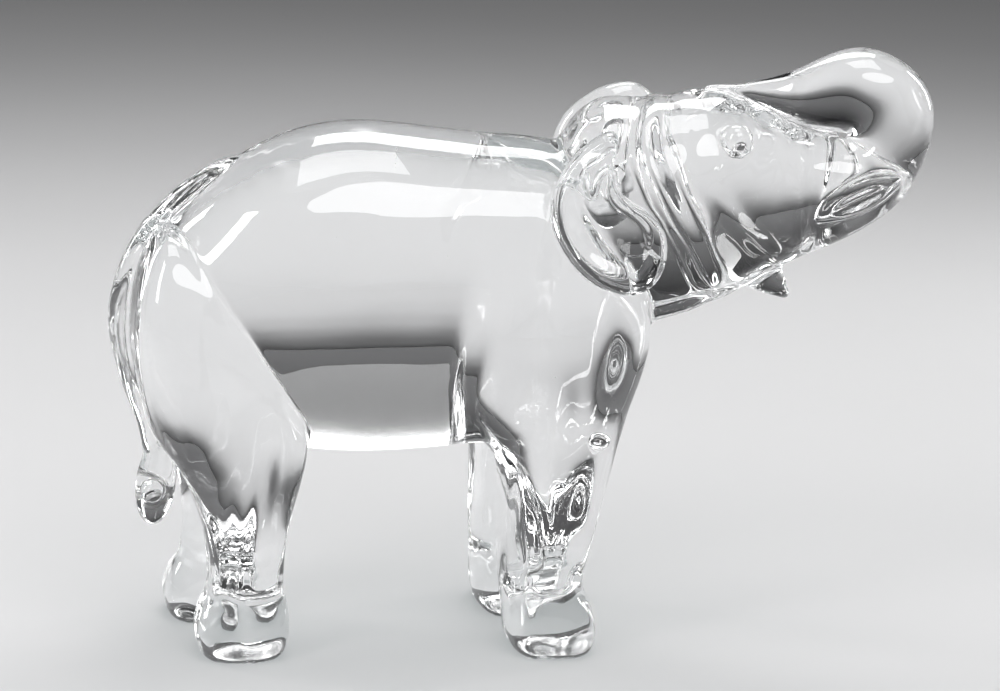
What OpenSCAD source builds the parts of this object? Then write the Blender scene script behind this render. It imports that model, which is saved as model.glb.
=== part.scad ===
// Hand-worked solid glass elephant, trunk raised and folded back onto the forehead.
// Every gather of glass is its own solid; neighbours meet face to face along their fusion seams.
// Millimetres. +X toward the trunk, +Y toward the elephant's left, +Z up, feet on z = 0.

/* [Body] */
// Full width of the barrel across the ribs
barrel_w = 55; // [48:1:60]
// Flattening of the flanks (2 = elliptical section, larger = boxier)
flank_square = 2.15; // [2:0.05:2.6]

/* [Legs] */
// Thickness of the four legs relative to the nominal gather
leg_girth = 1; // [0.9:0.01:1.05]
// Height of the ankle groove above the table
ankle_h = 15; // [13:0.5:17]
// How far the left hind foot is set behind the right one
hind_stagger = 4.5; // [0:0.5:6]

/* [Head] */
// Turn of the head toward the elephant's right, degrees
head_turn = 12; // [0:1:16]
// Full width of the head between the ears
head_w = 44; // [40:1:48]
// Diameter of the eye beads
eye_d = 7.6; // [6:0.2:9]

/* [Trunk] */
// Thickness of the trunk where it folds over
trunk_d = 20; // [18:0.2:20.6]
// Length of the oval tusks
tusk_l = 21.5; // [18:0.5:24]
// Width of the oval tusks
tusk_w = 7.4; // [6:0.2:9]

/* [Ears] */
// Height of the ear pads
ear_h = 36; // [32:0.5:39]
// Thickness of the ear pads
ear_t = 9; // [7:0.5:11]
// How much further forward the left ear leans than the right, degrees
ear_lean = 20; // [0:1:24]

/* [Tail] */
// Width of the tail strip at its root
tail_w = 7.5; // [6:0.25:9]
// Height of the pinched tuft
tuft_h = 20; // [16:0.5:22]

/* [Hidden] */

RIGHT = -1;
LEFT = 1;
SHIFT = [3, 1, 0];            // puts the origin under the centre of the finished piece
NECK_X = 14;                  // the head turns about this upright line
ROUND = 32;                   // points round the head and trunk
HIP_Z = 60;                   // above this height the left and right legs are alike
FORE_STAGGER = 1.5;           // how far the left front foot is set behind the right one
HIND_OUT = 4;                 // how much further out the left hind foot stands
TUFT_TOP = 46.5;              // height of the tuft's upper end
EAR_RISE = 5.5;               // how much higher the leaning ear is set
EAR_OUT = 25.3;               // middle of each ear from the middle of the head
EAR_YAW = [2, 10];            // how far each ear stands off at its leading edge, right and left, degrees
TUSK_PROUD = 3.6;             // half thickness of a tusk
glass = [0.86, 0.92, 0.94, 0.55];
glass_light = [0.93, 0.97, 0.98, 0.55];

// Barrel stations, rump to chest: x, middle height, half height, half width as a share of barrel_w
torso_stations = [
    [-91.6, 73.0,  2.0, 0.04],
    [-90.6, 73.2,  9.0, 0.16],
    [-88.0, 74.0, 16.5, 0.28],
    [-83.0, 75.5, 22.0, 0.37],
    [-75.5, 77.6, 26.6, 0.43],
    [-65.0, 79.9, 32.2, 0.47],
    [-53.0, 81.0, 36.2, 0.49],
    [-40.0, 81.5, 37.7, 0.50],
    [-26.0, 81.3, 37.0, 0.50],
    [-12.0, 80.9, 35.6, 0.49],
    [  0.0, 80.9, 34.6, 0.48],
    [ 10.0, 81.2, 32.2, 0.45],
    [ 17.4, 81.0, 27.5, 0.40],
    [ 23.0, 80.0, 20.5, 0.32],
    [ 26.4, 78.5, 12.0, 0.20],
    [ 27.8, 78.0,  3.0, 0.05]];

// Head stations, nape to mouth: x, middle height, half height, half width as a share of head_w
head_stations = [
    [ 3.2,  99.8,  3.0, 0.06],
    [ 4.4,  99.9, 10.5, 0.20],
    [ 8.0, 100.0, 18.8, 0.36],
    [14.0,  99.8, 24.0, 0.46],
    [22.0,  99.6, 25.3, 0.50],
    [30.0, 100.3, 25.4, 0.50],
    [38.0, 102.6, 24.8, 0.47],
    [46.0, 103.5, 22.8, 0.43],
    [54.0, 103.7, 18.9, 0.38],
    [61.0, 104.3, 15.0, 0.33]];

// Trunk rings by their inner edge x, z, outer edge x, z and half width; all but the root grow with trunk_d.
// The inner edges run out to the crook, round it and back over the forehead to the drawn-out tip
trunk_rings = [
    [66.5, 118.3, 69.0,  92.9, 12.4],
    [69.8, 117.4, 78.0,  97.4, 11.3],
    [71.1, 117.0, 84.6, 103.2, 10.8],
    [71.6, 117.3, 89.0, 110.8, 10.5],
    [71.8, 117.8, 91.2, 119.6, 10.3],
    [71.7, 118.3, 89.6, 128.0, 10.2],
    [71.3, 118.7, 84.4, 134.8, 10.0],
    [70.4, 118.8, 76.4, 138.2,  9.6],
    [67.4, 118.7, 68.6, 137.0,  8.6],
    [62.6, 119.3, 62.2, 134.0,  6.9],
    [57.2, 121.3, 56.4, 131.2,  5.2],
    [51.6, 123.9, 51.0, 129.9,  3.4],
    [46.4, 126.0, 46.2, 128.6,  2.1],
    [41.8, 127.0, 41.8, 128.5,  1.2],
    [38.8, 127.6, 38.8, 128.2,  0.5]];
FOLD_FROM = 7;                // the rings from this one on lie over the forehead

// Leg stations, table to shoulder: z, middle x, half length, middle y (outward), half width, squareness
front_stations = [
    [  0.0,   3.8,  7.8, 15.3, 11.3, 3.6],
    [  1.4,   3.8,  9.3, 15.5, 12.5, 3.6],
    [  6.0,   3.8, 10.2, 15.5, 12.7, 3.4],
    [ 11.5,   2.8,  9.9, 15.6, 12.0, 3.0],
    [ 15.0,   1.6,  9.2, 15.7, 10.8, 2.6],
    [ 22.0,   1.9,  9.9, 15.5, 10.9, 2.5],
    [ 32.0,   2.9, 11.2, 15.1, 11.7, 2.5],
    [ 42.0,   4.0, 12.9, 14.5, 12.7, 2.5],
    [ 50.0,   3.4, 15.0, 14.2, 13.4, 2.7],
    [ 58.0,   1.4, 18.8, 14.0, 14.0, 3.2],
    [ 70.0,   3.0, 20.8, 14.0, 15.0, 3.5],
    [ 80.0,   3.0, 20.8, 13.6, 14.4, 3.2],
    [ 90.0,   3.0, 17.0, 12.4, 13.0, 2.9],
    [100.0,   1.0, 12.3, 10.8, 10.6, 2.8],
    [105.0,   1.0,  8.0,  9.5,  8.2, 2.6],
    [107.0,   1.0,  3.0,  8.0,  4.0, 2.5]];

rear_stations = [
    [ 0.0, -66.6,  8.2, 12.3,  9.1, 3.0],
    [ 1.4, -66.6,  9.7, 12.5, 10.2, 3.0],
    [ 6.0, -66.6, 10.5, 12.5, 10.4, 3.0],
    [11.5, -66.4,  9.7, 12.6,  9.9, 2.7],
    [15.0, -66.0,  8.4, 12.8,  9.0, 2.5],
    [22.0, -66.0,  8.4, 12.9,  9.1, 2.4],
    [30.0, -66.2,  9.4, 13.2, 10.2, 2.4],
    [38.0, -66.8, 11.8, 13.4, 11.6, 2.4],
    [45.0, -67.6, 14.4, 13.9, 12.4, 2.5],
    [52.0, -69.8, 16.8, 14.2, 13.2, 2.7],
    [60.0, -73.0, 16.6, 14.2, 13.8, 3.0],
    [70.0, -76.2, 15.2, 13.6, 13.8, 3.2],
    [80.0, -79.4, 11.8, 12.8, 13.2, 3.2],
    [88.0, -81.8,  8.0, 11.4, 11.6, 3.0],
    [94.4, -83.2,  3.8,  9.6,  8.6, 2.6],
    [96.4, -83.6,  1.0,  8.8,  5.0, 2.4]];

// Lower lip, mouth to point: x, z, half thickness, half width
lip_stations = [
    [50.4, 88.4, 5.4, 5.6],
    [54.2, 85.2, 4.4, 4.9],
    [57.0, 82.8, 3.0, 3.4],
    [59.2, 80.8, 1.3, 1.5]];

// Webs between the legs, belly to ankle: x, z, half thickness, half width
front_web = [
    [ -4.0, 54.0, 8.0, 8.0],
    [  3.0, 43.0, 8.5, 8.0],
    [  6.2, 31.0, 6.3, 8.0],
    [  7.2, 20.0, 4.0, 7.5],
    [  7.4, 13.0, 3.2, 6.0]];

rear_web = [
    [-72.0, 56.0, 8.0, 8.5],
    [-67.0, 44.0, 8.0, 8.5],
    [-64.5, 32.0, 6.2, 8.5],
    [-64.0, 21.0, 4.0, 8.5],
    [-64.0, 14.0, 3.2, 7.0]];

// Ear outline, from the knob down the trailing edge and back up the leading edge: x, z
ear_outline = [
    [16.0, 120.6], [ 9.6, 116.0], [ 5.8, 110.2], [ 4.6, 103.6], [ 6.2,  96.8], [10.6,  90.4],
    [16.2,  86.2], [22.4,  84.6], [27.2,  86.8], [29.8,  92.0], [29.6,  98.4], [26.2, 102.4],
    [21.6, 105.0], [18.4, 109.2], [17.6, 114.4], [18.6, 119.0]];
EAR_MID = [16.5, 102.6];

// The ear that leans is broader at the top, where it folds forward over the head.
// Its outline starts and ends like this
crown_start = [[18.0, 121.4], [11.0, 117.6]];
crown_end = [[23.2, 108.6], [26.4, 113.4], [24.4, 118.8]];

// Ear rings, outer face to head side: depth as a share of ear_t, size as a share of the outline.
// The face is dished, with a rounded rim
ear_rings = [[0.27, 0.25], [0.30, 0.45], [0.37, 0.62], [0.48, 0.76], [0.47, 0.86], [0.38, 0.935],
             [0.20, 0.985], [0.02, 1.00], [-0.20, 0.95], [-0.50, 0.80]];

// Tail, root to tuft: x, z, half thickness, half width as a share of tail_w
tail_stations = [
    [-66.0, 110.4, 1.0, 0.20],
    [-71.0, 108.2, 2.2, 0.50],
    [-78.0, 103.0, 2.6, 0.50],
    [-84.6,  96.4, 2.6, 0.48],
    [-89.6,  89.4, 2.5, 0.46],
    [-92.6,  81.6, 2.4, 0.43],
    [-93.4,  73.4, 2.3, 0.40],
    [-92.2,  65.2, 2.1, 0.36],
    [-89.6,  57.2, 1.9, 0.30],
    [-87.0,  49.6, 1.8, 0.26],
    [-86.0,  44.0, 1.8, 0.26]];

// Evenly spaced share of the way along, and a smooth curve through the rows of a table
function cubic(a, b, c, d, t) =
    0.5 * (2 * b + (c - a) * t + (2 * a - 5 * b + 4 * c - d) * t * t + (3 * b - a - 3 * c + d) * t * t * t);
function along(rows, s) =
    let (last = len(rows) - 1, i = min(floor(s), last - 1))
    cubic(rows[max(i - 1, 0)], rows[i], rows[i + 1], rows[min(i + 2, last)], s - i);
function resample(rows, steps) =
    [for (k = [0 : steps]) along(rows, k * (len(rows) - 1) / steps)];
function around(rows, s) =
    let (n = len(rows), i = floor(s))
    cubic(rows[(i + n - 1) % n], rows[i % n], rows[(i + 1) % n], rows[(i + 2) % n], s - i);

// Rounded cross-section of half sizes a and b; square = 2 is an ellipse
function power(v, e) = sign(v) * pow(abs(v), e);
function section(a, b, square, n) =
    [for (k = [0 : n - 1])
        let (w = 360 * k / n)
        [a * power(cos(w), 2 / square), b * power(sin(w), 2 / square)]];

// Closed skin over a stack of equal rings
module skin(rings) {
    n = len(rings[0]);
    m = len(rings);
    sides = [for (i = [0 : m - 2], j = [0 : n - 1])
        let (a = i * n + j, b = i * n + (j + 1) % n)
        each [[a, a + n, b], [b, a + n, b + n]]];
    first = [for (j = [0 : n - 1]) j];
    last = [for (j = [n - 1 : -1 : 0]) (m - 1) * n + j];
    polyhedron(points = [for (r = rings) each r], faces = concat([first], sides, [last]));
}

// Loft of upright sections standing along X: rows of x, middle z, half height, half width
module loft_x(rows, square, steps, n)
    skin([for (s = resample(rows, steps))
        [for (p = section(s[3], s[2], square, n)) [s[0], p[0], s[1] + p[1]]]]);

// Loft of level sections stacked along Z: rows of z, middle x, half length, middle y, half width, squareness
module loft_z(rows, steps, n)
    skin([for (s = resample(rows, steps))
        [for (p = section(s[2], s[4], s[5], n)) [s[1] + p[0], s[3] + p[1], s[0]]]]);

// Rod drawn along a path in the XZ plane: rows of x, z, half depth, half width; both ends are rounded
module rod(rows, steps, n) {
    body = resample(rows, steps);
    cap = 5;
    m = len(body) - 1;
    heading = [for (i = [0 : m]) let (d = body[min(i + 1, m)] - body[max(i - 1, 0)]) atan2(d[1], d[0])];
    function ring(i, ahead, grow) =
        let (s = body[i], c = cos(heading[i]), t = sin(heading[i]))
        [for (p = section(s[3] * grow, s[2] * grow, 2, n))
            [s[0] + c * ahead * s[2] - t * p[1], p[0], s[1] + t * ahead * s[2] + c * p[1]]];
    skin(concat(
        [for (k = [cap : -1 : 1]) ring(0, -sin(86 * k / cap), cos(86 * k / cap))],
        [for (i = [0 : m]) ring(i, 0, 1)],
        [for (k = [1 : cap]) ring(m, sin(86 * k / cap), cos(86 * k / cap))]));
}

// Rod that folds sharply: each row is the ring's inner edge x, z, outer edge x, z and half width
module folded_rod(rows, steps, n)
    skin([for (s = resample(rows, steps))
        let (inner = [s[0], 0, s[1]], outer = [s[2], 0, s[3]])
        let (middle = (inner + outer) / 2, up = (inner - outer) / 2)
        [for (p = section(s[4], 1, 2, n)) middle + up * p[1] + [0, p[0], 0]]]);

// Carries the head and everything fused to it round the neck
module turned()
    translate([NECK_X, 0, 0]) rotate([0, 0, -head_turn]) translate([-NECK_X, 0, 0]) children();

// Trims the first child against the neighbours that follow it, so that the seams coincide.
// The empty resize changes no size: it only makes the trimmed gather one mesh
module seated()
    translate(SHIFT) resize([0, 0, 0]) difference() {
        children(0);
        if ($children > 1) children([1 : $children - 1]);
    }

// The table with one column multiplied
function wide(rows, column, by) =
    [for (r = rows) [for (k = [0 : len(r) - 1]) k == column ? r[k] * by : r[k]]];

// The barrel, with a web of glass drawn down between the legs of each pair
module torso_gather() {
    loft_x(wide(torso_stations, 3, barrel_w), flank_square, 36, 36);
    for (web = [front_web, rear_web]) rod(web, 10, 16);
}

module head_gather() turned() loft_x(wide(head_stations, 3, head_w), 2, 25, ROUND);

// Trunk rings at the chosen thickness, measured from the crook
function fold_rings() =
    let (k = trunk_d / 20)
    [for (r = trunk_rings)
        [r[0], r[1], r[0] + (r[2] - r[0]) * k, r[1] + (r[3] - r[1]) * k, r[4] * k]];

// The trunk leaves the flat mouth end of the head at that end's own section, then folds back over it
module trunk_gather() {
    root = head_stations[len(head_stations) - 1];
    rows = concat([[root[0], root[1] + root[2], root[0], root[1] - root[2], root[3] * head_w]], fold_rings());
    turned() folded_rod(rows, 2 * (len(rows) - 1), ROUND);
}

// The part of it that lies on the forehead
module fold_gather() {
    rings = fold_rings();
    rows = [for (i = [FOLD_FROM : len(rings) - 1]) rings[i]];
    turned() folded_rod(rows, 2 * (len(rows) - 1), ROUND);
}

// Fits a leg to the chosen ankle height and girth; its foot is set back and out, fading to nothing at the hip
function leg_fitted(rows, back, out) =
    [for (r = rows) let (low = max(0, 1 - r[0] / HIP_Z))
        [r[0] < HIP_Z / 3 ? r[0] * ankle_h / 15 : r[0],
         r[1] - back * low, r[2] * leg_girth, r[3] + out * low, r[4] * leg_girth, r[5]]];

module leg_gather(rows, side, back, out)
    scale([1, side, 1]) loft_z(leg_fitted(rows, back, out), 30, 28);

module front_leg_gather(side) leg_gather(front_stations, side, side == LEFT ? FORE_STAGGER : 0, 0);

module rear_leg_gather(side)
    leg_gather(rear_stations, side, side == LEFT ? hind_stagger : 0, side == LEFT ? HIND_OUT : 0);

module ear_gather(side) {
    n = 44;
    grow = ear_h / 36;
    left = side == LEFT ? 1 : 0;
    last = len(ear_outline) - 1;
    trailing = [for (k = [2 : last - 3]) ear_outline[k]];
    outline = side == LEFT ? concat(crown_start, trailing, crown_end) : ear_outline;
    curve = [for (k = [0 : n - 1]) around(outline, k * len(outline) / n) - EAR_MID];
    turned()
        translate([EAR_MID[0], side * EAR_OUT, EAR_MID[1] + left * EAR_RISE])
            rotate([0, left * ear_lean, 0]) scale([1, side, 1]) rotate([8, 0, EAR_YAW[left]])
                skin([for (r = ear_rings)
                    [for (p = curve) [p[0] * r[1] * grow, r[0] * ear_t, p[1] * r[1] * grow]]]);
}

module torso() color(glass) seated() torso_gather();

module head() color(glass) seated() { head_gather(); torso_gather(); fold_gather(); }

module trunk() color(glass) seated() trunk_gather();

module lower_lip() color(glass_light) seated() {
    turned() rod(lip_stations, 9, 16);
    head_gather();
    trunk_gather();
}

module eye(side) color(glass_light) seated() {
    turned() translate([45, side * 15.8, 118.2]) sphere(d = eye_d, $fn = 24);
    head_gather();
}

// Slanting oval drop on the side of the trunk, pressed hollow on its outer face
module tusk_gather(side)
    turned() translate([73.2, side * 12.2, 105.4]) rotate([0, -28, 0]) difference() {
        scale([tusk_l / 2, TUSK_PROUD, tusk_w / 2]) sphere(r = 1, $fn = 24);
        translate([0, side * TUSK_PROUD, 0])
            scale([tusk_l * 0.35, 1.4, tusk_w * 0.26]) sphere(r = 1, $fn = 24);
    }

module tusk(side) color(glass_light) seated() {
    tusk_gather(side);
    trunk_gather();
    head_gather();
}

module ear(side) color(glass) seated() {
    ear_gather(side);
    head_gather();
    torso_gather();
    front_leg_gather(side);
}

module front_leg(side) color(glass) seated() { front_leg_gather(side); torso_gather(); head_gather(); }

module rear_leg(side) color(glass) seated() { rear_leg_gather(side); torso_gather(); }

module tail_gather() rod(wide(tail_stations, 3, tail_w), 24, 12);

module tail() color(glass_light) seated() {
    tail_gather();
    torso_gather();
    rear_leg_gather(RIGHT);
    rear_leg_gather(LEFT);
}

module tail_tuft() color(glass_light) seated() {
    translate([-84.8, 0, TUFT_TOP - tuft_h / 2])
        rotate([0, 6, 0]) scale([4.6, 3.4, tuft_h / 2]) sphere(r = 1, $fn = 24);
    for (side = [RIGHT, LEFT])
        translate([-86.2, side * 4.4, TUFT_TOP - tuft_h * 0.55]) sphere(d = 5, $fn = 16);
    tail_gather();
    rear_leg_gather(RIGHT);
    rear_leg_gather(LEFT);
}

torso();
head();
trunk();
lower_lip();
ear(RIGHT);  // ear_right
ear(LEFT);  // ear_left
eye(RIGHT);  // eye_right
eye(LEFT);  // eye_left
tusk(RIGHT);  // tusk_right
tusk(LEFT);  // tusk_left
front_leg(RIGHT);  // front_leg_right
front_leg(LEFT);  // front_leg_left
rear_leg(RIGHT);  // rear_leg_right
rear_leg(LEFT);  // rear_leg_left
tail();
tail_tuft();
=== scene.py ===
import math

import bpy
import numpy as np
import openvdb
from mathutils import Matrix, Vector


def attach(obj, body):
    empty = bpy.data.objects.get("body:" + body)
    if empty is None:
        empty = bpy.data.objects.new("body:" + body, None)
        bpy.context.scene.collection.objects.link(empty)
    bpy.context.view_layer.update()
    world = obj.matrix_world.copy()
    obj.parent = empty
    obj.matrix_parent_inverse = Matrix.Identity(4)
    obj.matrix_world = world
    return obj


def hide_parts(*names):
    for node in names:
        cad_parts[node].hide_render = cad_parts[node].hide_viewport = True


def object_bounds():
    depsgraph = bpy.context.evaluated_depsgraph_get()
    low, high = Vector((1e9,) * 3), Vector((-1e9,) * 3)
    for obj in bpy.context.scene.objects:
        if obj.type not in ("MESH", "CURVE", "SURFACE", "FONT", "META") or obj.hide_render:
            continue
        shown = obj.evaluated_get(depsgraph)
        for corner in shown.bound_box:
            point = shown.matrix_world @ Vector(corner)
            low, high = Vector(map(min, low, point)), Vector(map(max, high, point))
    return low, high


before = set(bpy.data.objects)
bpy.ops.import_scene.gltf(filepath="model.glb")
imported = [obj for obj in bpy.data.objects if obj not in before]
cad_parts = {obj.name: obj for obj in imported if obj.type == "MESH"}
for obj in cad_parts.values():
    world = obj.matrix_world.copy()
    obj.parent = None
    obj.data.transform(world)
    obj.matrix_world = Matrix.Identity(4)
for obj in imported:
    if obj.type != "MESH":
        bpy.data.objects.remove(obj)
cad_lo, cad_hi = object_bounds()

MM = 0.001
VOXEL = 0.5  # grid pitch of the glass, mm
BAND = 4.0  # distances are kept this far from each surface, mm
SEAM_DEPTH = 2.5  # a gather reaches this far under its neighbour's skin, mm
RIGHT, LEFT = -1, 1

# The gathers, as part.scad draws them, in millimetres
SHIFT = np.array([3.0, 1.0, 0.0])
NECK_X, HEAD_TURN = 14.0, 12.0
HIP_Z, FORE_STAGGER, HIND_STAGGER, HIND_OUT = 60.0, 1.5, 4.5, 4
EAR_LEAN, EAR_RISE, EAR_THICK, EAR_OUT, EAR_YAW = 20.0, 5.5, 9.0, 25.3, (2, 10)
BARREL_W, HEAD_W, TAIL_W, TUFT_H, TUFT_TOP = 55.0, 44.0, 7.5, 20.0, 46.5
EYE_X, EYE_OUT, EYE_Z, EYE_RADIUS = 45, 15.8, 118.2, 3.8
TUSK_X, TUSK_Z, TUSK_SLOPE = 73.2, 105.4, -28
TUSK_HALF, TUSK_OUT = (10.75, 3.6, 3.7), 12.2
HOLLOW_HALF, HOLLOW_OUT = (7.5, 1.9, 1.9), 15.8

TORSO = [
    [-91.6, 73.0, 2.0, 0.04], [-90.6, 73.2, 9.0, 0.16], [-88.0, 74.0, 16.5, 0.28], [-83.0, 75.5, 22.0, 0.37],
    [-75.5, 77.6, 26.6, 0.43], [-65.0, 79.9, 32.2, 0.47], [-53.0, 81.0, 36.2, 0.49],
    [-40.0, 81.5, 37.7, 0.50],
    [-26.0, 81.3, 37.0, 0.50], [-12.0, 80.9, 35.6, 0.49], [0.0, 80.9, 34.6, 0.48], [10.0, 81.2, 32.2, 0.45],
    [17.4, 81.0, 27.5, 0.40], [23.0, 80.0, 20.5, 0.32], [26.4, 78.5, 12.0, 0.20], [27.8, 78.0, 3.0, 0.05]]
HEAD = [
    [3.2, 99.8, 3.0, 0.06], [4.4, 99.9, 10.5, 0.20], [8.0, 100.0, 18.8, 0.36], [14.0, 99.8, 24.0, 0.46],
    [22.0, 99.6, 25.3, 0.50], [30.0, 100.3, 25.4, 0.50], [38.0, 102.6, 24.8, 0.47], [46.0, 103.5, 22.8, 0.43],
    [54.0, 103.7, 18.9, 0.38], [61.0, 104.3, 15.0, 0.33]]
TRUNK = [
    [61.0, 119.3, 61.0, 89.3, 14.52], [66.5, 118.3, 69.0, 92.9, 12.4], [69.8, 117.4, 78.0, 97.4, 11.3],
    [71.1, 117.0, 84.6, 103.2, 10.8], [71.6, 117.3, 89.0, 110.8, 10.5], [71.8, 117.8, 91.2, 119.6, 10.3],
    [71.7, 118.3, 89.6, 128.0, 10.2], [71.3, 118.7, 84.4, 134.8, 10.0], [70.4, 118.8, 76.4, 138.2, 9.6],
    [67.4, 118.7, 68.6, 137.0, 8.6], [62.6, 119.3, 62.2, 134.0, 6.9], [57.2, 121.3, 56.4, 131.2, 5.2],
    [51.6, 123.9, 51.0, 129.9, 3.4], [46.4, 126.0, 46.2, 128.6, 2.1], [41.8, 127.0, 41.8, 128.5, 1.2],
    [38.8, 127.6, 38.8, 128.2, 0.5]]
FRONT = [
    [0.0, 3.8, 7.8, 15.3, 11.3, 3.6], [1.4, 3.8, 9.3, 15.5, 12.5, 3.6], [6.0, 3.8, 10.2, 15.5, 12.7, 3.4],
    [11.5, 2.8, 9.9, 15.6, 12.0, 3.0], [15.0, 1.6, 9.2, 15.7, 10.8, 2.6], [22.0, 1.9, 9.9, 15.5, 10.9, 2.5],
    [32.0, 2.9, 11.2, 15.1, 11.7, 2.5], [42.0, 4.0, 12.9, 14.5, 12.7, 2.5],
    [50.0, 3.4, 15.0, 14.2, 13.4, 2.7],
    [58.0, 1.4, 18.8, 14.0, 14.0, 3.2], [70.0, 3.0, 20.8, 14.0, 15.0, 3.5],
    [80.0, 3.0, 20.8, 13.6, 14.4, 3.2],
    [90.0, 3.0, 17.0, 12.4, 13.0, 2.9], [100.0, 1.0, 12.3, 10.8, 10.6, 2.8], [105.0, 1.0, 8.0, 9.5, 8.2, 2.6],
    [107.0, 1.0, 3.0, 8.0, 4.0, 2.5]]
REAR = [
    [0.0, -66.6, 8.2, 12.3, 9.1, 3.0], [1.4, -66.6, 9.7, 12.5, 10.2, 3.0],
    [6.0, -66.6, 10.5, 12.5, 10.4, 3.0],
    [11.5, -66.4, 9.7, 12.6, 9.9, 2.7], [15.0, -66.0, 8.4, 12.8, 9.0, 2.5],
    [22.0, -66.0, 8.4, 12.9, 9.1, 2.4],
    [30.0, -66.2, 9.4, 13.2, 10.2, 2.4], [38.0, -66.8, 11.8, 13.4, 11.6, 2.4],
    [45.0, -67.6, 14.4, 13.9, 12.4, 2.5],
    [52.0, -69.8, 16.8, 14.2, 13.2, 2.7], [60.0, -73.0, 16.6, 14.2, 13.8, 3.0],
    [70.0, -76.2, 15.2, 13.6, 13.8, 3.2],
    [80.0, -79.4, 11.8, 12.8, 13.2, 3.2], [88.0, -81.8, 8.0, 11.4, 11.6, 3.0],
    [94.4, -83.2, 3.8, 9.6, 8.6, 2.6],
    [96.4, -83.6, 1.0, 8.8, 5.0, 2.4]]
EAR_OUTLINE = [
    [16.0, 120.6], [9.6, 116.0], [5.8, 110.2], [4.6, 103.6], [6.2, 96.8], [10.6, 90.4], [16.2, 86.2],
    [22.4, 84.6],
    [27.2, 86.8], [29.8, 92.0], [29.6, 98.4], [26.2, 102.4], [21.6, 105.0], [18.4, 109.2],
    [17.6, 114.4], [18.6, 119.0]]
EAR_MID = np.array([16.5, 102.6])
CROWN_START, CROWN_END = [[18.0, 121.4], [11.0, 117.6]], [[23.2, 108.6], [26.4, 113.4], [24.4, 118.8]]
FRONT_WEB = [
    [-4.0, 54.0, 8.0, 8.0], [3.0, 43.0, 8.5, 8.0], [6.2, 31.0, 6.3, 8.0], [7.2, 20.0, 4.0, 7.5],
    [7.4, 13.0, 3.2, 6.0]]
REAR_WEB = [
    [-72.0, 56.0, 8.0, 8.5], [-67.0, 44.0, 8.0, 8.5], [-64.5, 32.0, 6.2, 8.5], [-64.0, 21.0, 4.0, 8.5],
    [-64.0, 14.0, 3.2, 7.0]]
# Outer face to head side: depth as a share of the thickness, size as a share of the outline.
# The face is dished.
EAR_RINGS = [
    [0.26, 0.04], [0.27, 0.25], [0.30, 0.45], [0.37, 0.62], [0.48, 0.76], [0.47, 0.86], [0.38, 0.935],
    [0.20, 0.985], [0.02, 1.00], [-0.20, 0.95], [-0.50, 0.80]]
TAIL = [
    [-66.0, 110.4, 1.0, 0.20], [-71.0, 108.2, 2.2, 0.50], [-78.0, 103.0, 2.6, 0.50], [-84.6, 96.4, 2.6, 0.48],
    [-89.6, 89.4, 2.5, 0.46], [-92.6, 81.6, 2.4, 0.43], [-93.4, 73.4, 2.3, 0.40], [-92.2, 65.2, 2.1, 0.36],
    [-89.6, 57.2, 1.9, 0.30], [-87.0, 49.6, 1.8, 0.26], [-86.0, 44.0, 1.8, 0.26]]
LIP = [[50.4, 88.4, 5.4, 5.6], [54.2, 85.2, 4.4, 4.9], [57.0, 82.8, 3.0, 3.4], [59.2, 80.8, 1.3, 1.5]]


# ---------------------------------------------------------------- lofts
def along(rows, s):
    """Smooth curve through the rows, at row positions s."""
    rows = np.asarray(rows, float)
    last = len(rows) - 1
    i = np.minimum(np.floor(s).astype(int), last - 1)
    t = (s - i)[:, None]
    a, b, c, d = rows[np.maximum(i - 1, 0)], rows[i], rows[i + 1], rows[np.minimum(i + 2, last)]
    square = (2 * a - 5 * b + 4 * c - d) * t**2
    cube = (3 * b - a - 3 * c + d) * t**3
    return 0.5 * (2 * b + (c - a) * t + square + cube)


def eased(rows, width):
    """Evens out a sampled table along its length, with both ends held."""
    w = np.exp(-0.5 * (np.arange(-3 * width, 3 * width + 1) / width) ** 2)
    w /= w.sum()
    pad = 3 * width
    head = 2 * rows[0] - rows[1 : pad + 1][::-1]
    tail = 2 * rows[-1] - rows[-pad - 1 : -1][::-1]
    full = np.concatenate([head, rows, tail])
    return np.stack([np.convolve(full[:, k], w, "valid") for k in range(rows.shape[1])], 1)


def resample(rows, per_row=16, ease=5):
    last = len(rows) - 1
    return eased(along(rows, np.linspace(0, last, last * per_row + 1)), ease)


def section(a, b, square, n=96):
    """Rounded cross-sections of half sizes a and b, one per row."""
    w = np.arange(n) * 2 * math.pi / n
    c, s = np.cos(w)[None], np.sin(w)[None]
    e = 2 / np.asarray(square, float).reshape(-1, 1)
    across = np.asarray(a)[:, None] * np.sign(c) * np.abs(c) ** e
    up = np.asarray(b)[:, None] * np.sign(s) * np.abs(s) ** e
    return across, up


def loft_x(rows, square):
    s = resample(rows)
    y, z = section(np.maximum(s[:, 3], 0.2), np.maximum(s[:, 2], 0.2), np.full(len(s), square))
    return np.stack([np.repeat(s[:, :1], y.shape[1], 1), y, s[:, 1:2] + z], 2)


def loft_z(rows):
    s = resample(rows, 14, 4)
    x, y = section(s[:, 2], s[:, 4], s[:, 5])
    return np.stack([s[:, 1:2] + x, s[:, 3:4] + y, np.repeat(s[:, :1], x.shape[1], 1)], 2)


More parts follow.
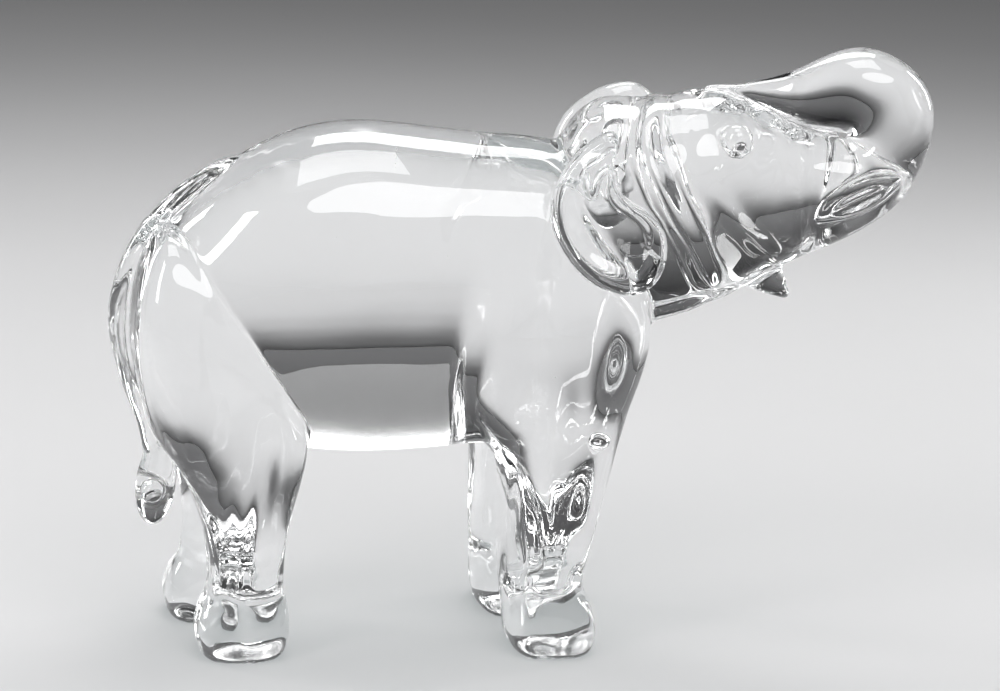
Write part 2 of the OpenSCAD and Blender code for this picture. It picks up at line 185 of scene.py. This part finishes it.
def rod(rows, cap=8):
    """Rod along a path of x, z, half depth, half width, rounded at both ends."""
    s = resample(rows, 12, 4)
    d = np.gradient(s[:, :2], axis=0)
    heading = np.arctan2(d[:, 1], d[:, 0])
    w = np.radians(88 * np.arange(1, cap + 1) / cap)
    s = np.concatenate([np.repeat(s[:1], cap, 0), s, np.repeat(s[-1:], cap, 0)])
    heading = np.concatenate([np.repeat(heading[0], cap), heading, np.repeat(heading[-1], cap)])
    m = len(s) - 2 * cap
    ahead = np.concatenate([-np.sin(w[::-1]), np.zeros(m), np.sin(w)])
    grow = np.concatenate([np.cos(w[::-1]), np.ones(m), np.cos(w)])
    y, p = section(s[:, 3] * grow, s[:, 2] * grow, np.full(len(s), 2.0), 64)
    c, t = np.cos(heading)[:, None], np.sin(heading)[:, None]
    x = s[:, :1] + c * (ahead * s[:, 2])[:, None] - t * p
    z = s[:, 1:2] + t * (ahead * s[:, 2])[:, None] + c * p
    return np.stack([x, y, z], 2)


def folded_rod(rows):
    s = resample(rows, 14, 6)
    inner = np.stack([s[:, 0], 0 * s[:, 0], s[:, 1]], 1)
    outer = np.stack([s[:, 2], 0 * s[:, 0], s[:, 3]], 1)
    y, p = section(s[:, 4], np.ones(len(s)), np.full(len(s), 2.0))
    rings = ((inner + outer) / 2)[:, None] + ((inner - outer) / 2)[:, None] * p[..., None]
    rings[..., 1] += y
    root = rings[:1].copy()
    middle = root.mean(1, keepdims=True)
    root = middle + (root - middle) * 0.9 - [4.0, 0, 0]  # a plug that reaches back into the head
    return np.concatenate([root, rings])


def ellipsoid(centre, half, n=64):
    lat = np.radians(np.linspace(-88, 88, n // 2))
    lon = np.arange(n) * 2 * math.pi / n
    ring = np.stack([np.cos(lat)[:, None] * np.cos(lon), np.cos(lat)[:, None] * np.sin(lon),
                     np.sin(lat)[:, None] + 0 * lon], 2)
    return np.asarray(centre) + ring * np.asarray(half)


# ---------------------------------------------------------------- placing
def turn(points, axis, degrees, about=(0, 0, 0)):
    m = np.array(Matrix.Rotation(math.radians(degrees), 3, axis))
    return (points - np.asarray(about)) @ m.T + np.asarray(about)


def turned(points):
    return turn(points, "Z", -HEAD_TURN, (NECK_X, 0, 0))


def leg(rows, side, back, out):
    rows = np.array(rows)
    low = np.maximum(0, 1 - rows[:, 0] / HIP_Z)
    rows[:, 1] -= back * low
    rows[:, 3] += out * low
    return loft_z(rows) * [1, side, 1]


def ear(side):
    left = 1 if side == LEFT else 0
    outline = CROWN_START + EAR_OUTLINE[2:-3] + CROWN_END if left else EAR_OUTLINE
    n = len(outline)
    closed = np.array(outline[-3:] + outline + outline[:3])
    curve = along(closed, 3 + np.arange(n * 10) / 10) - EAR_MID
    ring = along(EAR_RINGS, np.linspace(0, len(EAR_RINGS) - 1, 80))
    p = np.stack([curve[None, :, 0] * ring[:, 1:2], ring[:, :1] * EAR_THICK + 0 * curve[None, :, 0],
                  curve[None, :, 1] * ring[:, 1:2]], 2)
    p = turn(turn(p, "Z", EAR_YAW[left]), "X", 8)
    p = p * [1, side, 1]
    p = turn(p, "Y", left * EAR_LEAN)
    return turned(p + [EAR_MID[0], side * EAR_OUT, EAR_MID[1] + left * EAR_RISE])


def cord(rows, side, n=24):
    """Round cord through points in space: rows of x, y, z, radius; it tapers away at both ends."""
    s = resample(np.array(rows) * [1, side, 1, 1], 12, 4)
    ends = np.minimum(np.arange(len(s)), np.arange(len(s))[::-1]) / 6
    r = s[:, 3] * np.sqrt(np.clip(ends, 0.02, 1))
    ahead = np.gradient(s[:, :3], axis=0)
    ahead /= np.linalg.norm(ahead, axis=1, keepdims=True)
    one = np.cross(ahead, [1.0, 0.35, 0.2])
    one /= np.linalg.norm(one, axis=1, keepdims=True)
    two = np.cross(ahead, one)
    w = np.arange(n) * 2 * math.pi / n
    ring = one[:, None] * np.cos(w)[None, :, None] + two[:, None] * np.sin(w)[None, :, None]
    return turned(s[:, None, :3] + ring * r[:, None, None])


def scaled(rows, column, by):
    rows = np.array(rows, float)
    rows[:, column] *= by
    return rows


def drop(side, half, out):
    """Slanting ellipsoid on the side of the trunk."""
    p = ellipsoid((0, 0, 0), half)
    return turned(turn(p, "Y", TUSK_SLOPE) + [TUSK_X, side * out, TUSK_Z])


GATHERS = {  # name: (rings, how softly it runs into what is there already in mm)
    "torso": ([loft_x(scaled(TORSO, 3, BARREL_W), 2.15), rod(FRONT_WEB), rod(REAR_WEB)], 2.4),
    "head": ([turned(loft_x(scaled(HEAD, 3, HEAD_W), 2))], 2.4),
    "trunk": ([turned(folded_rod(TRUNK))], 0.9),
    "front_leg_right": ([leg(FRONT, RIGHT, 0, 0)], 1.4),
    "front_leg_left": ([leg(FRONT, LEFT, FORE_STAGGER, 0)], 1.4),
    "rear_leg_right": ([leg(REAR, RIGHT, 0, 0)], 1.4),
    "rear_leg_left": ([leg(REAR, LEFT, HIND_STAGGER, HIND_OUT)], 1.4),
    "ear_right": ([ear(RIGHT)], 1.0),
    "ear_left": ([ear(LEFT)], 1.0),
    "tail": ([rod(scaled(TAIL, 3, TAIL_W))], 1.2),
    "lower_lip": ([turned(rod(LIP))], 1.6),
    "eye_right": ([turned(ellipsoid((EYE_X, -EYE_OUT, EYE_Z), (EYE_RADIUS, EYE_RADIUS, EYE_RADIUS)))], 0.4),
    "eye_left": ([turned(ellipsoid((EYE_X, EYE_OUT, EYE_Z), (EYE_RADIUS, EYE_RADIUS, EYE_RADIUS)))], 0.4),
    "tusk_right": ([drop(RIGHT, TUSK_HALF, TUSK_OUT)], 0.7),
    "tusk_left": ([drop(LEFT, TUSK_HALF, TUSK_OUT)], 0.7),
    "tail_tuft": ([
        turn(ellipsoid((0, 0, 0), (4.6, 3.4, TUFT_H / 2)), "Y", 6) + [-84.8, 0, TUFT_TOP - TUFT_H / 2],
        ellipsoid((-86.2, -4.4, TUFT_TOP - TUFT_H * 0.55), (2.5, 2.5, 2.5)),
        ellipsoid((-86.2, 4.4, TUFT_TOP - TUFT_H * 0.55), (2.5, 2.5, 2.5))], 1.0),
}
# Hollows pressed into a gather: (rings, softness of the rim)
HOLLOWS = {
    "tusk_right": (drop(RIGHT, HOLLOW_HALF, HOLLOW_OUT), 0.6),
    "tusk_left": (drop(LEFT, HOLLOW_HALF, HOLLOW_OUT), 0.6),
}
# Cords drawn over the head: the sides they are on, then x, y outward, z, radius
FOLDS = [
    ((RIGHT, LEFT), [
        [28.5, 2.0, 125.0, 1.0], [25.6, 12.0, 120.4, 1.9], [25.8, 18.9, 113.0, 2.2], [29.4, 21.2, 105.4, 2.4],
        [33.6, 21.0, 98.2, 2.3], [37.6, 18.5, 91.2, 2.0], [40.6, 14.2, 85.6, 1.4]]),
    ((RIGHT, LEFT), [
        [23.0, 9.5, 77.9, 2.2], [31.0, 10.0, 78.4, 2.5], [39.0, 9.0, 81.2, 2.3], [46.0, 7.0, 84.8, 1.8],
        [51.0, 5.0, 88.0, 1.2]]),
    ((RIGHT,), [
        [40.0, 19.2, 107.0, 0.8], [45.0, 18.6, 101.0, 1.2], [50.5, 16.0, 95.6, 1.2],
    [55.0, 13.2, 92.6, 0.8]]),
]
FOLD_SOFT = 2.6  # mm, how softly they run into the head
NAMES = list(GATHERS)

# ---------------------------------------------------------------- distance fields
PAD = int(BAND / VOXEL) + 3
LO = np.floor((np.array(cad_lo) / MM) / VOXEL).astype(int) - PAD
HI = np.ceil((np.array(cad_hi) / MM) / VOXEL).astype(int) + PAD
SHAPE = tuple(HI - LO + 1)


def faces_of(rings):
    m, n = rings.shape[:2]
    i, j = np.meshgrid(np.arange(m - 1), np.arange(n), indexing="ij")
    a, b = i * n + j, i * n + (j + 1) % n
    quads = np.stack([a, b, b + n, a + n], -1).reshape(-1, 4)
    k = np.arange(1, n - 1)
    fan = np.stack([0 * k, k + 1, k], 1)
    return quads, np.concatenate([fan, fan[:, ::-1] + (m - 1) * n])


def field(rings):
    """Signed distance to a loft, in mm: (array, where it sits in the whole grid)."""
    points = (rings.reshape(-1, 3) + SHIFT).astype(np.float32)
    quads, tris = faces_of(rings)
    grid = openvdb.FloatGrid.createLevelSetFromPolygons(
        points, triangles=tris.astype(np.uint32), quads=quads.astype(np.uint32),
        transform=openvdb.createLinearTransform(voxelSize=VOXEL), halfWidth=BAND / VOXEL)
    lo = np.maximum(np.floor(points.min(0) / VOXEL).astype(int) - PAD + 1, LO)
    hi = np.minimum(np.ceil(points.max(0) / VOXEL).astype(int) + PAD - 1, HI)
    out = np.empty(hi - lo + 1, np.float32)
    grid.copyToArray(out, ijk=tuple(int(v) for v in lo))
    return out, tuple(slice(int(a), int(b)) for a, b in zip(lo - LO, hi - LO + 1))


def soft_min(a, b, k):
    h = np.clip(k - np.abs(a - b), 0, None)
    return np.minimum(a, b) - h * h / (4 * k)


def blur(a, sigma):
    r = max(1, int(math.ceil(2.5 * sigma)))
    w = np.exp(-0.5 * (np.arange(-r, r + 1) / sigma) ** 2)
    w /= w.sum()
    for axis in range(3):
        edge = [(r, r) if k == axis else (0, 0) for k in range(3)]
        p = np.pad(a, edge, mode="edge")
        cut = [slice(None)] * 3
        out = 0
        for k in range(2 * r + 1):
            cut[axis] = slice(k, k + a.shape[axis])
            out = out + w[k] * p[tuple(cut)]
        a = out
    return a.astype(np.float32)


def waves(points, size, seed):
    """Smooth unevenness, mostly between -1 and 1, the same each run. Size: wave lengths along the axes."""
    rng = np.random.default_rng(seed)
    out = 0
    for _ in range(9):
        d = rng.normal(size=3)
        d /= np.linalg.norm(d)
        d = d / np.asarray(size) * 2 * math.pi
        phase = rng.uniform(0, 2 * math.pi)
        out = out + np.sin(points[0] * d[0] + points[1] * d[1] + points[2] * d[2] + phase)
    return out / 4.5


# How each gather's surface wanders from a true loft: height in mm, wave lengths along X, Y and Z in mm
FLOW = {
    "torso": [(0.24, (44, 36, 26)), (0.04, (15, 12, 10))],
    "head": [(0.40, (17, 15, 30)), (0.12, (7, 7, 15))],
    "trunk": [(0.26, (24, 15, 22)), (0.06, (9, 6, 9))],
    "front_leg": [(0.50, (9, 9, 46)), (0.09, (4, 4, 30))],
    "rear_leg": [(0.50, (9, 9, 46)), (0.09, (4, 4, 30))],
    "ear": [(0.07, (14, 14, 18))],
    "tail": [(0.14, (9, 4, 14))],
}
UNDER_BELLY = 3.4  # the legs run into the belly this softly on their inner sides, mm
TRUNK_ROOT = 0.25  # the trunk goes on from the mouth end of the head with next to no fillet, mm
ROOT_BOX = ((50, 80), (-34, 16), (80, 122))  # the neighbourhood of the trunk's root, mm
ROOT_SPAN = 4.0  # how far ahead of and behind the root the surface is evened out, mm
ROOT_BLUR = 2.2  # mm
SKIN_BLUR = 0.45  # evens out the whole surface a little, mm


def relief_share(name, spot):
    """The relief dies out at the ground feet, and on the legs fades to a fifth near the shoulder and hip."""
    share = np.clip(spot[2] / 6, 0, 1)
    return share * np.clip((80 - spot[2]) / 30, 0.2, 1) if "leg" in name else share


def join(name, spot, soft):
    """Softness of a join in mm: UNDER_BELLY between two legs, TRUNK_ROOT low on the trunk, else soft."""
    if "leg" in name:
        between = np.clip((15 - np.abs(spot[1] - SHIFT[1])) / 6, 0, 1)
        below = np.clip((62 - spot[2]) / 10, 0, 1)
        share = between * below
        return (soft + (UNDER_BELLY - soft) * share + 0 * spot[0]).astype(np.float32)
    if name == "trunk":
        share = np.clip((115 - spot[2]) / 5, 0, 1) + 0 * spot[0] + 0 * spot[1]
        return (soft + (TRUNK_ROOT - soft) * share).astype(np.float32)
    return soft


def ease_root():
    """Evens out the ring where the trunk goes on from the mouth end of the head."""
    near = []
    for k, (low, high) in enumerate(ROOT_BOX):
        start = max(int(low / VOXEL) - LO[k], 0)
        stop = min(int(high / VOXEL) - LO[k], SHAPE[k])
        near.append(slice(start, stop))
    near = tuple(near)
    axes = [(np.arange(s.start, s.stop) + LO[k]) * VOXEL for k, s in enumerate(near)]
    x, y, z = np.meshgrid(*axes, indexing="ij")
    a = math.radians(HEAD_TURN)
    ahead = NECK_X + (x - SHIFT[0] - NECK_X) * math.cos(a) - (y - SHIFT[1]) * math.sin(a)
    share = np.exp(-(((ahead - HEAD[-1][0]) / ROOT_SPAN) ** 2)) * np.clip((116 - z) / 5, 0, 1)
    part = total[near]
    total[near] = part + (blur(part, ROOT_BLUR / VOXEL) - part) * share.astype(np.float32)


total = np.full(SHAPE, BAND, np.float32)
nearest = np.full(SHAPE, BAND, np.float32)
label = np.zeros(SHAPE, np.uint8)
for number, name in enumerate(NAMES):
    shapes, soft = GATHERS[name]
    for rings in shapes:
        f, at = field(rings)
        if name in HOLLOWS:
            hollow, rim = HOLLOWS[name]
            g, there = field(hollow)
            whole = np.full(SHAPE, BAND, np.float32)
            whole[there] = g
            f = -soft_min(-f, whole[at], rim)
        if name == "head":
            for sides_of, fold in FOLDS:
                for side in sides_of:
                    g, there = field(cord(fold, side))
                    whole = np.full(SHAPE, BAND, np.float32)
                    whole[there] = g
                    f = soft_min(f, whole[at], FOLD_SOFT)
        axes = [((np.arange(s.start, s.stop) + LO[k]) * VOXEL).astype(np.float32) for k, s in enumerate(at)]
        spot = [axes[0][:, None, None], axes[1][None, :, None], axes[2][None, None, :]]
        flow = next((v for n, v in FLOW.items() if name.startswith(n)), [])
        for k, (height, size) in enumerate(flow):
            f += height * waves(spot, size, 11 + number + 40 * k) * relief_share(name, spot)
        total[at] = soft_min(total[at], f, join(name, spot, soft))
        f = np.maximum(f, -SEAM_DEPTH)
        won = f < nearest[at]
        label[at][won] = number
        nearest[at][won] = f[won]
    if name == "trunk":
        ease_root()
total = blur(total, SKIN_BLUR / VOXEL)

# ---------------------------------------------------------------- one net over all pieces
owner = np.where(total < 0, label + 1, 0).astype(np.uint8)


def spread(mask, within):
    """The mask grown by one grid step along each axis, inside another."""
    out = mask.copy()
    for axis in range(3):
        ahead, behind = [slice(None)] * 3, [slice(None)] * 3
        ahead[axis], behind[axis] = slice(1, None), slice(None, -1)
        ahead, behind = tuple(ahead), tuple(behind)
        out[ahead] |= mask[behind]
        out[behind] |= mask[ahead]
    return out & within


def body_of(mask):
    """The connected part of a mask that holds its first cell."""
    grown = np.zeros_like(mask)
    grown[np.unravel_index(np.argmax(mask), mask.shape)] = True
    while True:
        wider = spread(grown, mask)
        if wider.sum() == grown.sum():
            return grown
        grown = wider


# Specks of a small piece that came apart from it go to the piece round them
for number, name in enumerate(NAMES):
    if name.startswith(("ear", "eye", "tusk", "tail", "lower")):
        cut = tuple(slice(max(at.min() - 2, 0), at.max() + 3) for at in np.nonzero(owner == number + 1))
        part = owner[cut]
        rest = part == number + 1
        bodies = []
        while rest.any():
            bodies.append(body_of(rest))
            rest &= ~bodies[-1]
        for speck in sorted(bodies, key=np.sum)[:-1]:
            near = part[spread(speck, part != number + 1)]
            if (near > 0).any():
                part[speck] = np.bincount(near[near > 0]).argmax()
cells, sides = [], []
for axis in range(3):
    b, c = (axis + 1) % 3, (axis + 2) % 3
    cut = [slice(None)] * 3
    cut[axis] = slice(0, -1)
    low = owner[tuple(cut)]
    cut[axis] = slice(1, None)
    high = owner[tuple(cut)]
    at = np.argwhere(low != high)
    quad = np.repeat(at[:, None], 4, 1)
    quad[:, [0, 3], b] -= 1
    quad[:, [0, 1], c] -= 1
    cells.append(quad)
    sides.append(np.stack([low[tuple(at.T)], high[tuple(at.T)]], 1))
cells, sides = np.concatenate(cells), np.concatenate(sides)
flat = (cells[..., 0] * SHAPE[1] + cells[..., 1]) * SHAPE[2] + cells[..., 2]
ids, net = np.unique(flat, return_inverse=True)
net = net.reshape(-1, 4)
cell_x = ids // (SHAPE[1] * SHAPE[2])
cell_y = ids // SHAPE[2] % SHAPE[1]
cell_z = ids % SHAPE[2]
where = np.stack([cell_x, cell_y, cell_z], 1).astype(float) + 0.5


def sample(a, p):
    """Trilinear values of a at grid points p."""
    i = np.clip(np.floor(p).astype(int), 0, np.array(SHAPE) - 2)
    t = p - i
    out = 0
    for corner in range(8):
        o = np.array([corner & 1, corner >> 1 & 1, corner >> 2 & 1])
        w = np.prod(np.where(o, t, 1 - t), 1)
        out = out + w * a[tuple((i + o).T)]
    return out


def slope(p, step=0.75):
    g = np.stack([sample(total, p + step * e) - sample(total, p - step * e) for e in np.eye(3)], 1)
    return g / (2 * step)


on_skin = (sides == 0).any(1)
skin_point = np.zeros(len(ids), bool)
skin_point[net[on_skin]] = True
seam_point = np.zeros(len(ids), bool)
seam_point[net[~on_skin]] = True
border = skin_point & seam_point


LONGEST_STEP = 0.6  # of a net point towards the skin, in grid steps
LEASH = 1.1  # no net point goes further than this from home along any axis, in grid steps


def to_skin(p, home, rounds=3):
    """Moves net points towards the zero surface, on a leash from home."""
    for _ in range(rounds):
        g = slope(p)
        move = (sample(total, p) / np.maximum((g * g).sum(1), 1e-6))[:, None] * g
        length = np.linalg.norm(move, axis=1, keepdims=True)
        p = p - move * np.minimum(1, LONGEST_STEP / np.maximum(length, 1e-9))
        p = np.clip(p, home - LEASH, home + LEASH)
    return p


edges = np.concatenate([net[:, [k, (k + 1) % 4]] for k in range(4)])
kind = np.repeat(on_skin[None], 4, 0).ravel()
a, b = edges.T
# Border points follow the border, skin points the skin, and inner seam points everything
keep = np.where(border[a], border[b], np.where(skin_point[a], kind, True))
keep_back = np.where(border[b], border[a], np.where(skin_point[b], kind, True))
frm = np.concatenate([a[keep], b[keep_back]])
to = np.concatenate([b[keep], a[keep_back]])
count = np.maximum(np.bincount(frm, minlength=len(ids)), 1)[:, None]
home = where[skin_point].copy()
where[skin_point] = to_skin(home, home)
for _ in range(6):
    sums = [np.bincount(frm, weights=where[to, k], minlength=len(ids)) for k in range(3)]
    mean = np.stack(sums, 1) / count
    where += 0.5 * (mean - where)
    where[skin_point] = to_skin(where[skin_point], home, 1)
where[skin_point] = to_skin(where[skin_point], home)
normal = slope(where)
normal /= np.maximum(np.linalg.norm(normal, axis=1, keepdims=True), 1e-9)

points = (where + LO) * VOXEL * MM
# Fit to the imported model's own box, with the ground feet exactly on z = 0
lo, hi = points[skin_point].min(0), points[skin_point].max(0)
want_lo, want_hi = np.array(cad_lo), np.array(cad_hi)
points = want_lo + (points - lo) * (want_hi - want_lo) / (hi - lo)
GROUND_REACH = 0.15  # skin this near the table and facing down is ground flat, mm
FACING_DOWN = -0.7
ground = (points[:, 2] < GROUND_REACH * MM) & (normal[:, 2] < FACING_DOWN)
points[ground, 2] = want_lo[2]


# ---------------------------------------------------------------- materials
MIX_A, MIX_B, MIX_RESULT = 6, 7, 2  # colour sockets of the mix node


def nodes_of(name):
    mat = bpy.data.materials.new(name)
    mat.use_nodes = True
    tree = mat.node_tree
    tree.nodes.clear()
    return mat, tree


def add(tree, kind, inputs=None, **settings):
    node = tree.nodes.new(kind)
    for k, v in settings.items():
        setattr(node, k, v)
    for k, v in (inputs or {}).items():
        if isinstance(v, bpy.types.NodeSocket):
            tree.links.new(v, node.inputs[k])
        else:
            node.inputs[k].default_value = v
    return node


def crystal(name, tint, ior, rough, ripple, ripple_size):
    """Clear hot-worked glass: rippled and corded surface, faint haze, ground feet, a few specks."""
    mat, t = nodes_of(name)
    place = add(t, "ShaderNodeTexCoord").outputs["Object"]
    height = add(t, "ShaderNodeSeparateXYZ", {"Vector": add(t, "ShaderNodeNewGeometry").outputs["Position"]})
    broad = add(t, "ShaderNodeTexNoise", {
        "Vector": place, "Scale": ripple_size, "Detail": 1.0, "Roughness": 0.4, "Distortion": 1.2})
    stretched = add(t, "ShaderNodeMapping", {"Vector": place, "Scale": (1.0, 1.0, 0.28)})
    fine = add(t, "ShaderNodeTexNoise", {
        "Vector": stretched.outputs[0], "Scale": ripple_size * 4.5, "Detail": 2.0, "Roughness": 0.45})
    mixed = add(t, "ShaderNodeMath", {0: fine.outputs["Fac"], 1: 0.16}, operation="MULTIPLY")
    mixed = add(t, "ShaderNodeMath", {0: broad.outputs["Fac"], 1: mixed.outputs[0]}, operation="ADD")
    bump = add(t, "ShaderNodeBump", {"Height": mixed.outputs[0], "Strength": ripple, "Distance": 0.0012})

    haze = add(t, "ShaderNodeTexNoise", {"Vector": place, "Scale": 70.0, "Detail": 3.0, "Roughness": 0.6})
    haze = add(t, "ShaderNodeMapRange", {"Value": haze.outputs["Fac"], "From Min": 0.45, "From Max": 0.75,
                                         "To Min": rough, "To Max": rough * 3})
    base = add(t, "ShaderNodeMapRange", {
        "Value": height.outputs["Z"], "From Min": 0.00005, "From Max": 0.00035,
        "To Min": 0.34, "To Max": 0.0})
    grind = add(t, "ShaderNodeTexNoise", {"Vector": place, "Scale": 1400.0, "Detail": 2.0})
    grind = add(t, "ShaderNodeMath", {0: grind.outputs["Fac"], 1: base.outputs[0]}, operation="MULTIPLY")
    speck = add(t, "ShaderNodeTexVoronoi", {"Vector": place, "Scale": 130.0, "Randomness": 1.0})
    speck = add(t, "ShaderNodeMapRange", {
        "Value": speck.outputs["Distance"], "From Min": 0.012, "From Max": 0.03,
        "To Min": 0.45, "To Max": 0.0})
    rougher = add(t, "ShaderNodeMath", {0: haze.outputs[0], 1: grind.outputs[0]}, operation="ADD")
    rougher = add(t, "ShaderNodeMath", {0: rougher.outputs[0], 1: speck.outputs[0]}, operation="ADD")

    glass = add(t, "ShaderNodeBsdfPrincipled", {
        "Base Color": (*tint, 1), "Roughness": rougher.outputs[0], "IOR": ior, "Transmission Weight": 1.0,
        "Normal": bump.outputs[0]})
    clear = add(t, "ShaderNodeBsdfTransparent", {"Color": (0.80, 0.82, 0.82, 1)})
    shadow = add(t, "ShaderNodeLightPath")
    both = add(t, "ShaderNodeMixShader", {0: shadow.outputs["Is Shadow Ray"], 1: glass.outputs[0],
                                          2: clear.outputs[0]})
    add(t, "ShaderNodeOutputMaterial", {"Surface": both.outputs[0]})
    return mat


def fused():
    """Inside of a fusion seam: one piece of glass runs on into the next with nothing to see."""
    mat, t = nodes_of("fusion_seam")
    add(t, "ShaderNodeOutputMaterial", {"Surface": add(t, "ShaderNodeBsdfTransparent").outputs[0]})
    return mat


body_glass = crystal("crystal_body", (0.985, 0.990, 0.992), 1.545, 0.004, 0.10, 26.0)
bit_glass = crystal("crystal_bits", (0.990, 0.994, 0.995), 1.545, 0.004, 0.12, 60.0)
seam = fused()
APPLIED = ("lower_lip", "eye_right", "eye_left", "tusk_right", "tusk_left", "tail", "tail_tuft")

# ---------------------------------------------------------------- pieces
for number, name in enumerate(NAMES):
    lab = number + 1
    fore, back = sides[:, 0] == lab, sides[:, 1] == lab
    faces = np.concatenate([net[fore], net[back][:, ::-1]])
    other = np.concatenate([sides[fore, 1], sides[back, 0]])
    used, faces = np.unique(faces, return_inverse=True)
    faces = faces.reshape(-1, 4)
    mesh = bpy.data.meshes.new(name + "_glass")
    mesh.vertices.add(len(used))
    mesh.vertices.foreach_set("co", points[used].astype(np.float32).ravel())
    mesh.loops.add(faces.size)
    mesh.loops.foreach_set("vertex_index", faces.astype(np.int32).ravel())
    mesh.polygons.add(len(faces))
    mesh.polygons.foreach_set("loop_start", np.arange(len(faces), dtype=np.int32) * 4)
    mesh.polygons.foreach_set("material_index", (other > 0).astype(np.int32))
    mesh.update(calc_edges=True)
    mesh.polygons.foreach_set("use_smooth", np.ones(len(faces), bool))
    corner = normal[used][faces]
    flat_n = np.cross(points[used][faces[:, 2]] - points[used][faces[:, 0]],
                      points[used][faces[:, 3]] - points[used][faces[:, 1]])
    flat_n /= np.maximum(np.linalg.norm(flat_n, axis=1, keepdims=True), 1e-15)
    corner[other > 0] = flat_n[other > 0][:, None]
    mesh.materials.append(bit_glass if name in APPLIED else body_glass)
    mesh.materials.append(seam)
    mesh.normals_split_custom_set(corner.reshape(-1, 3).astype(np.float32))
    piece = bpy.data.objects.new("glass_" + name, mesh)
    bpy.context.scene.collection.objects.link(piece)
    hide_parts(name)
    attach(piece, "root")
    print("PIECE", name, len(faces), "skin", int((other == 0).sum()))

# ---------------------------------------------------------------- stage
size = cad_hi - cad_lo
middle = (cad_lo + cad_hi) / 2


def floor_material():
    mat, t = nodes_of("stage_floor")
    place = add(t, "ShaderNodeTexCoord").outputs["Object"]
    cloud = add(t, "ShaderNodeTexNoise", {"Vector": place, "Scale": 3.0, "Detail": 3.0})
    tone = add(t, "ShaderNodeMix", {
        "Factor": cloud.outputs["Fac"], MIX_A: (0.62, 0.62, 0.625, 1), MIX_B: (0.68, 0.68, 0.685, 1)},
        data_type="RGBA")
    matt = add(t, "ShaderNodeBsdfPrincipled", {"Base Color": tone.outputs[MIX_RESULT], "Roughness": 0.75})
    add(t, "ShaderNodeOutputMaterial", {"Surface": matt.outputs[0]})
    return mat


FLOOR_HALF = 6.0  # m
FLOOR_GAP = 0.00004  # keeps the floor clear of the ground feet, m
mesh = bpy.data.meshes.new("floor")
h = FLOOR_HALF
mesh.from_pydata([(-h, -h, 0), (h, -h, 0), (h, h, 0), (-h, h, 0)], [], [(0, 1, 2, 3)])
mesh.materials.append(floor_material())
floor = bpy.data.objects.new("floor", mesh)
floor.location = (middle.x, middle.y, cad_lo.z - FLOOR_GAP)
bpy.context.scene.collection.objects.link(floor)


def softbox(name, azimuth, elevation, distance, width, height, watts, shape="RECTANGLE"):
    """Area light facing the figure. Azimuth 0 is in front, on -Y."""
    data = bpy.data.lights.new(name, "AREA")
    data.shape, data.size, data.size_y, data.energy = shape, width, height, watts
    lamp = bpy.data.objects.new(name, data)
    a, e = math.radians(azimuth), math.radians(elevation)
    away = Vector((math.sin(a) * math.cos(e), -math.cos(a) * math.cos(e), math.sin(e)))
    lamp.location = middle + away * distance
    lamp.rotation_euler = away.to_track_quat("Z", "Y").to_euler()
    bpy.context.scene.collection.objects.link(lamp)
    return lamp


softbox("overhead", 165, 60, 0.85, 0.50, 0.30, 2.6)
softbox("front_left", -58, 34, 0.80, 0.14, 0.50, 1.7)
softbox("umbrella", 14, 50, 0.90, 0.62, 0.36, 2.2, "ELLIPSE")
softbox("rim_right", 112, 20, 0.80, 0.10, 0.45, 1.5)
softbox("rim_left", -122, 24, 0.80, 0.10, 0.45, 1.5)
softbox("fill", 0, 84, 4.5, 2.2, 2.2, 54)

world = bpy.data.worlds.new("studio")
world.use_nodes = True
bpy.context.scene.world = world
t = world.node_tree
t.nodes.clear()
up = add(t, "ShaderNodeSeparateXYZ", {"Vector": add(t, "ShaderNodeTexCoord").outputs["Generated"]})
fade = add(t, "ShaderNodeMapRange", {
    "Value": up.outputs["Z"], "From Min": 0.0, "From Max": 0.5, "To Min": 0.0, "To Max": 1.0})
shade = add(t, "ShaderNodeMix", {
    "Factor": fade.outputs[0], MIX_A: (0.15, 0.15, 0.153, 1), MIX_B: (0.010, 0.010, 0.011, 1)},
    data_type="RGBA")
sky = add(t, "ShaderNodeBackground", {"Color": shade.outputs[MIX_RESULT], "Strength": 1.0})
add(t, "ShaderNodeOutputWorld", {"Surface": sky.outputs[0]})

# ---------------------------------------------------------------- camera, at the photograph's angle
AZIMUTH, ELEVATION, ROLL = math.radians(-12.5), math.radians(13), math.radians(2)
LENS, SENSOR, DISTANCE = 100, 36, 0.640
AIM = middle + Vector((-0.0162 * size.x, 0.0154 * size.y, -0.0130 * size.z))
data = bpy.data.cameras.new("camera")
data.lens, data.sensor_width = LENS, SENSOR
data.clip_start, data.clip_end = 0.01, 50
camera = bpy.data.objects.new("camera", data)
away = Vector((
    math.sin(AZIMUTH) * math.cos(ELEVATION), -math.cos(AZIMUTH) * math.cos(ELEVATION), math.sin(ELEVATION)))
across = Vector((math.cos(AZIMUTH), math.sin(AZIMUTH), 0))
upward = across.cross(-away)
right = across * math.cos(ROLL) + upward * math.sin(ROLL)
top = upward * math.cos(ROLL) - across * math.sin(ROLL)
facing = Matrix((right, top, away)).transposed().to_4x4()
camera.matrix_world = Matrix.Translation(AIM + away * DISTANCE) @ facing
bpy.context.scene.collection.objects.link(camera)
bpy.context.scene.camera = camera

light_path = bpy.context.scene.cycles
light_path.max_bounces = 28
light_path.transmission_bounces = 28
light_path.glossy_bounces = 10
light_path.transparent_max_bounces = 64
light_path.caustics_reflective = False
light_path.caustics_refractive = False
light_path.use_denoising = True
bpy.context.scene.view_settings.view_transform = "Standard"
bpy.context.scene.view_settings.look = "Medium High Contrast"
